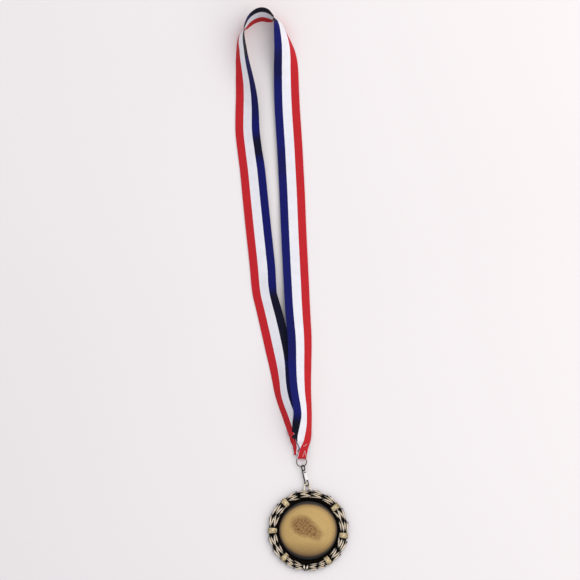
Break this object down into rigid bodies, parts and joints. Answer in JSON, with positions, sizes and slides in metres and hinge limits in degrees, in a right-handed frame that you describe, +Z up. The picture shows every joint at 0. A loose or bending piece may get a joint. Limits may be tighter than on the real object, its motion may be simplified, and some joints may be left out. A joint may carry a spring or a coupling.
{
  "type": "neck ribbon medal",
  "caption": "Round cast medallion with a wreath rim and an empty insert recess, hung by a snap hook and split ring on a striped woven neck ribbon, laid out flat.",
  "frame": {"origin": "middle of the footprint, on the table that the medal lies on", "axes": "+Z up from the table through the medallion's face, +Y from the medallion to the neck end of the ribbon, +X to the right seen from above"},
  "size_m": [0.0978, 0.4886, 0.0222],
  "materials": {
    "antique_bronze": "antique gold plate, satin recess, blackened hollows and rubbed bright leaves",
    "nickel": "bright nickel plate, a little dulled",
    "spring_steel": "bright nickel-plated spring strip",
    "ribbon": "fine ribbed woven ribbon in red, white and navy stripes",
    "thread": "polyester sewing thread"
  },
  "bodies": {
    "ribbon": {"ribbon_right_strand": "ribbon", "ribbon_neck_arch": "ribbon", "ribbon_left_strand": "ribbon", "ribbon_folded_end": "ribbon", "bar_tack_1": "thread", "bar_tack_2": "thread"},
    "ring": {"split_ring": "nickel"},
    "hook": {"snap_hook": "nickel", "tongue_rivet": "nickel"},
    "tongue": {"hook_tongue": "spring_steel"},
    "medallion": {"medallion_casting": "antique_bronze"}
  },
  "joints": [
    {"name": "ring_swing", "type": "hinge", "parent": "ribbon", "child": "ring", "pos_m": [0.0081, -0.14515, 0.00255], "axis": [1, 0, 0], "range_deg": [-20, 20]},
    {"name": "hook_swing", "type": "hinge", "parent": "ring", "child": "hook", "pos_m": [0.00923, -0.1537, 0.00255], "axis": [0.9659, 0.2588, 0], "range_deg": [-50, 50]},
    {"name": "tongue_flex", "type": "hinge", "parent": "hook", "child": "tongue", "pos_m": [0.01083, -0.15872, 0.00316], "axis": [0.7982, 0.1843, -0.5735], "range_deg": [0, 16], "stiffness_Nm_per_rad": 0.01},
    {"name": "medal_swing", "type": "hinge", "parent": "hook", "child": "medallion", "pos_m": [0.01275, -0.1691, 0.0021], "axis": [1, 0, 0], "range_deg": [-30, 20]}
  ]
}
